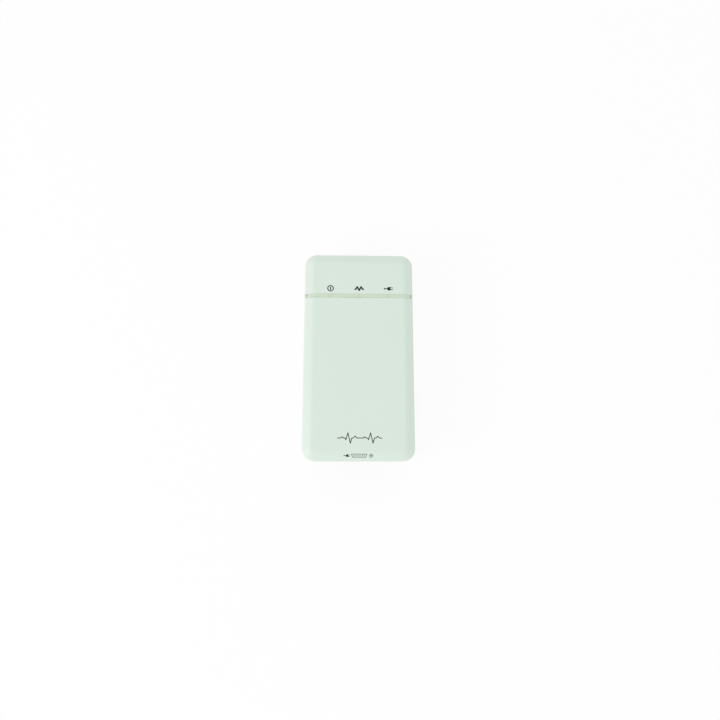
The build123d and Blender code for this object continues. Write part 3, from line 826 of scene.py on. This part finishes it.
# The lamps: a white body with tinned ends and a yellow round of resin over the light
lampLook = {
    "body": paint(228, 228, 220),
    "resin": paint(214, 206, 120),
    "end": paint(200, 186, 140),
    "cloudSize": 0.4,
    "resinRadius": 0.33,
    "endStart": 0.55,
    "domeDepth": 0.03,
    "domeCloud": 0.1,
}


def makeLampFinish():
    look = lampLook
    finish = Finish("lampLens", {"IOR": 1.5, "Coat Roughness": 0.08})
    offset = abs(finish.x).least(abs(abs(finish.x) - lampSpread))
    radius = reach(offset, finish.y - middleAndHalf("status_leds")[0].y)
    resin = 1 - finish.past(radius, look["resinRadius"], 0.04)
    end = finish.past(offset, look["endStart"], 0.03)
    body = finish.shaded(look["body"], 0.95 + 0.1 * finish.cloud(look["cloudSize"], 3))
    colour = finish.over(end, finish.over(resin, body, look["resin"]), look["end"])
    dome = finish.relief(resin + 0.05 * finish.cloud(look["domeCloud"]), look["domeDepth"])
    finish.vary(Base_Color=colour, Metallic=end * 0.9, Roughness=0.4 - 0.2 * resin,
                Coat_Weight=0.5 * resin, Normal=dome)
    return finish


# Printing ink: dense, a little grey where the screen's mesh shows, and thinner in specks
inkLook = {
    "colour": paint(24, 34, 29),
    "thin": paint(62, 74, 67),
    "mesh": 0.12,
    "meshShare": 0.1,
    "specks": (0.3, 0.56, 0.7),
    "speckShare": 0.4,
    "unevenSize": 0.2,
    "depth": 0.004,
}


def makeInkFinish():
    look = inkLook
    finish = Finish("printInk", {"IOR": 1.5, "Specular IOR Level": 0.25})
    turns = 2 * np.pi / look["mesh"]
    weave = (finish.x * turns).only("SINE") * (finish.y * turns).only("SINE")
    specks = finish.patches(*look["specks"])
    thin = specks * look["speckShare"] + look["meshShare"] * abs(weave)
    colour = finish.over(thin, look["colour"], look["thin"])
    height = finish.relief(weave * 0.3 + finish.cloud(look["unevenSize"], 3), look["depth"])
    finish.vary(Base_Color=colour, Roughness=0.5 + 0.12 * specks, Normal=height)
    return finish


# Every node gets its finish. A screw's or chip's is made for its own node, because its marks lie there
def dressNodes():
    case = makeCaseFinish()
    moulding = makeMouldingFinish()
    gold = makeGoldFinish()
    finishes = {
        "front_cover": case,
        "head_cap": case,
        "back_cover": case,
        "light_strip": makeStripFinish(),
        "rating_label": makeLabelFinish(),
        "foot_pads": makeFootFinish(),
        "case_screws": makeScrewFinish("case_screws"),
        "board_screws": makeScrewFinish("board_screws"),
        "main_board": makeBoardFinish(),
        "patient_socket_shell": makePlatedFinish("socketSteel", (12, 1, 1)),
        "patient_socket_front_insulator": moulding,
        "patient_socket_rear_insulator": moulding,
        "patient_socket_contacts": gold,
        "jack_nuts": makePlatedFinish("nutSteel", (1, 12, 1), nuts=True),
        "usb_socket_shell": makePlatedFinish("canSteel", (1, 12, 1)),
        "usb_socket_insulator": moulding,
        "usb_socket_contacts": gold,
        "series_resistors": makeCeramicFinish("series_resistors", paint(44, 44, 48), (0,), 0.68),
        "surge_arresters": makeCeramicFinish("surge_arresters", paint(196, 190, 176), (0,), 1.05),
        "shield_can": makeTinFinish("shieldTin"),
        "front_end_chip": makeChipFinish("front_end_chip", 1, 1),
        "chip_capacitors": makeCeramicFinish("chip_capacitors", paint(168, 138, 100), (0, 4, 9.5), 0.5),
        "isolation_converter": makeChipFinish("isolation_converter", 0, 0),
        "digital_isolator": makeChipFinish("digital_isolator", 0, 1),
        "controller_chip": makeChipFinish("controller_chip", 1, 1),
        "clock_crystal": makeTinFinish("crystalTin"),
        "voltage_regulator": makeChipFinish("voltage_regulator", 0, 1),
        "bulk_capacitors": makeCanFinish(),
        "usb_choke": makeChokeFinish(),
        "status_leds": makeLampFinish(),
    }
    for name, finish in finishes.items():
        for slot in nodes[name].material_slots:
            slot.material = finish.material


dressNodes()
ink = makeInkFinish()
print("nodes dressed:", len(nodes))


# The face that the prints lie on: flat, a rounded crease, and the slope of the tail's bevel
faceShape = {
    "slopeWidth": 4.8,
    "slopeDrop": 2.2,
    "creaseRadius": 5.0,
}

# Every print stands a hair proud of the face, with its foot in the plastic
printShape = {
    "proud": 0.01,
    "sunk": 0.03,
    "bevel": 0.03,
    "bendSteps": 6,                      # points on the arc round the outside of a line's bend
}


# Height of the face at a place along Y: the top, less an arc's drop, then a straight slope
def faceHeight(y):
    low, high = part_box("front_cover")
    radius = faceShape["creaseRadius"]
    crease = low.y / mm + faceShape["slopeWidth"]
    tilt = np.arctan2(faceShape["slopeDrop"], faceShape["slopeWidth"])
    past = np.maximum(crease + radius * np.tan(tilt / 2) - y, 0)
    curved = radius - np.sqrt(np.maximum(radius ** 2 - past ** 2, 0))
    slope = (crease - y) * np.tan(tilt)
    return high.z / mm - np.where(past < radius * np.sin(tilt), curved, slope)


# A closed path moved sideways by a distance, with mitred corners, and laid on the face at a lift above it.
# Left of the path's way is positive
def laid(path, distance, lift):
    before, after = path - np.roll(path, 1, 0), np.roll(path, -1, 0) - path
    before = before / np.linalg.norm(before, axis=1, keepdims=True)
    after = after / np.linalg.norm(after, axis=1, keepdims=True)
    turned = (before + after)[:, ::-1] * (-1, 1)
    side = after[:, ::-1] * (-1, 1)
    edge = path + turned * (distance / np.sum(turned * side, axis=1, keepdims=True))
    return np.column_stack((edge, faceHeight(edge[:, 1]) + lift))


# A closed skin over rows of points: round each row, row to row, and flat ends or a joined ring
def skin(rows, joined):
    count, around = rows.shape[:2]
    index = np.arange(count * around).reshape(count, around)
    upper = np.roll(index, -1, 0) if joined else index[1:]
    lower = index if joined else index[:-1]
    faces = np.stack((lower, np.roll(lower, -1, 1), np.roll(upper, -1, 1), upper), -1)
    faces = faces.reshape(-1, 4).tolist()
    if not joined:
        faces += [index[0][::-1].tolist(), index[-1].tolist()]
    return rows.reshape(-1, 3), faces


# A printed shape inside an outline that runs anticlockwise: its foot, its edge, and the bevelled top
def plate(outline):
    outline = np.array(outline, float)
    levels = ((0, -printShape["sunk"]), (0, 0), (printShape["bevel"], printShape["proud"]))
    return skin(np.stack([laid(outline, side, lift) for side, lift in levels]), False)


# A printed ring: a flat band with bevelled edges, carried along a closed path
def ring(path, width):
    path = np.array(path, float)
    half, bevel, proud, sunk = width / 2, printShape["bevel"], printShape["proud"], printShape["sunk"]
    section = ((half, -sunk), (half, 0), (half - bevel, proud),
               (bevel - half, proud), (-half, 0), (-half, -sunk))
    return skin(np.stack([laid(path, side, lift) for side, lift in section], 1), True)


# A printed line along an open path: its outline runs half a width aside, with arcs round the outside of
# each bend and a mitre at the inside
def line(path, width):
    path = np.array(path, float)
    way = np.diff(path, axis=0)
    angle = np.unwrap(np.arctan2(way[:, 1], way[:, 0]))
    before, after = np.append(angle[0], angle), np.append(angle, angle[-1])
    bend = after - before
    turned = before[:, None] + bend[:, None] * np.linspace(0, 1, printShape["bendSteps"])
    bow = np.stack((-np.sin(turned), np.cos(turned)), -1)
    middle = (before + after) / 2
    mitre = np.stack((-np.sin(middle), np.cos(middle)), -1) / np.cos(bend / 2)[:, None]
    sides = []
    for side in (-1, 1):
        inside = (side * bend > 0)[:, None, None]
        away = np.where(inside, mitre[:, None], bow)
        edge = (path[:, None] + side * width / 2 * away).reshape(-1, 2)
        apart = np.linalg.norm(np.diff(edge, axis=0), axis=1) > 1e-6
        sides.append(edge[np.append(True, apart)])
    return plate(np.vstack((sides[0], sides[1][::-1])))


# Points on an arc: a middle, and a radius that turns from a start to an end
def arc(x, y, radius, start, end, count):
    turn = np.linspace(start, end, count)
    return np.column_stack((x + radius * np.cos(turn), y + radius * np.sin(turn)))


# An arc of one whole turn, without its last point
def circle(x, y, radius, count=40):
    return arc(x, y, radius, 0, 2 * np.pi, count + 1)[:-1]


# One object from several printed shapes
def addPrint(name, shapes):
    points, faces, start = [], [], 0
    for shapePoints, shapeFaces in shapes:
        points.append(shapePoints)
        faces += [[start + corner for corner in face] for face in shapeFaces]
        start += len(shapePoints)
    mesh = bpy.data.meshes.new(name)
    mesh.from_pydata((np.vstack(points) * mm).tolist(), [], faces)
    mesh.materials.append(ink.material)
    made = bpy.data.objects.new(name, mesh)
    bpy.context.scene.collection.objects.link(made)
    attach(made, "root")


# A plug of 2 mm at scale 1, with two prongs to the right and the round end of its cable at the left
plugShape = {
    "ball": 0.45,
    "ballAt": -2.1,
    "cable": 0.46,
    "back": 1.0,
    "backAt": 0.25,
    "face": 1.1,
    "tip": 2.4,
    "prongNear": 0.3,
    "prongFar": 0.74,
}


# The mark of a plug: its lower half from the round end of the cable, past the back, to the prong, and the
# mirrored upper half
def plugMark(at, scale):
    look = plugShape
    half, ball, back = look["cable"] / 2, look["ball"], look["back"]
    endTurn, backTurn = np.arcsin(half / ball), np.arcsin(half / back)
    face, tip, near, far = look["face"], look["tip"], look["prongNear"], look["prongFar"]
    prong = [(face, -back), (face, -far), (tip, -far), (tip, -near), (face, -near)]
    lower = np.vstack((arc(look["ballAt"], 0, ball, np.pi, 2 * np.pi - endTurn, 9),
                       arc(look["backAt"], 0, back, np.pi + backTurn, 1.5 * np.pi, 7), prong))
    upper = lower[:0:-1] * (1, -1)
    return plate(at + scale * np.vstack((lower, upper)))


# Over the lamps: a power mark, a heartbeat and a plug
legend = {
    "line": 38.1,
    "power": -16.15,
    "powerRadius": 1.6,
    "powerStroke": 0.56,
    "barHalf": 0.95,
    "barWidth": 0.66,
    "beat": 0.2,
    "beatStroke": 0.88,
    "plug": 16.9,
    "plugScale": 1.05,
}


# A power mark is a ring round a bar. The heartbeat dips between two peaks
def makeLegends():
    look = legend
    at = np.array((look["power"], look["line"]))
    bar = line([at - (0, look["barHalf"]), at + (0, look["barHalf"])], look["barWidth"])
    addPrint("powerLegend", [ring(circle(*at, look["powerRadius"]), look["powerStroke"]), bar])
    at = np.array((look["beat"], look["line"]))
    beat = [(-2.7, -0.45), (-1.95, -0.45), (-1.1, 1.0), (0, -1.1), (1.1, 1.0), (1.95, -0.45), (2.7, -0.45)]
    addPrint("beatLegend", [line(at + beat, look["beatStroke"])])
    addPrint("plugLegend", [plugMark((look["plug"], look["line"]), look["plugScale"])])


# Near the tail: a trace of two heartbeats. On the bevel: a plug, the socket's outline and an electrode
tailPrint = {
    "traceStart": (-11.7, -46.6),
    "traceStroke": 0.46,
    "beatPitch": 12.3,
    "socketMiddle": (0.3, -56.0),
    "socketTop": 4.1,
    "socketFoot": 3.6,
    "socketHalf": 0.8,
    "stroke": 0.3,
    "pins": 7,
    "pinReach": 2.8,
    "pinRadius": 0.24,
    "plug": -6.65,
    "plugScale": 0.7,
    "electrode": 6.5,
    "electrodeRadius": 0.85,
    "electrodeDot": 0.34,
}


# The trace is one beat's path, laid twice a pitch apart. The socket is a D with a row of pins
def makeTailPrints():
    look = tailPrint
    beat = np.array([(0, 0), (1.9, 0), (2.7, 0.7), (3.5, 0), (4.3, 0), (4.8, -0.9), (5.9, 2.8), (7.2, -2.8),
                     (8.0, 0), (8.8, 0), (9.8, 1.0), (10.8, 0)])
    path = np.vstack((beat, beat[1:] + (look["beatPitch"], 0), [(2 * look["beatPitch"], 0)]))
    addPrint("tracePrint", [line(path + look["traceStart"], look["traceStroke"])])
    at = np.array(look["socketMiddle"])
    top, foot, half = look["socketTop"], look["socketFoot"], look["socketHalf"]
    shapes = [ring(at + [(-top, half), (top, half), (foot, -half), (-foot, -half)], look["stroke"])]
    for right in np.linspace(-look["pinReach"], look["pinReach"], look["pins"]):
        shapes.append(plate(circle(*(at + (right, 0)), look["pinRadius"], 16)))
    shapes.append(plugMark(at + (look["plug"], 0), look["plugScale"]))
    electrode = at + (look["electrode"], 0)
    shapes.append(ring(circle(*electrode, look["electrodeRadius"], 32), look["stroke"]))
    shapes.append(plate(circle(*electrode, look["electrodeDot"], 16)))
    addPrint("socketPrint", shapes)


makeLegends()
makeTailPrints()
print("prints laid")
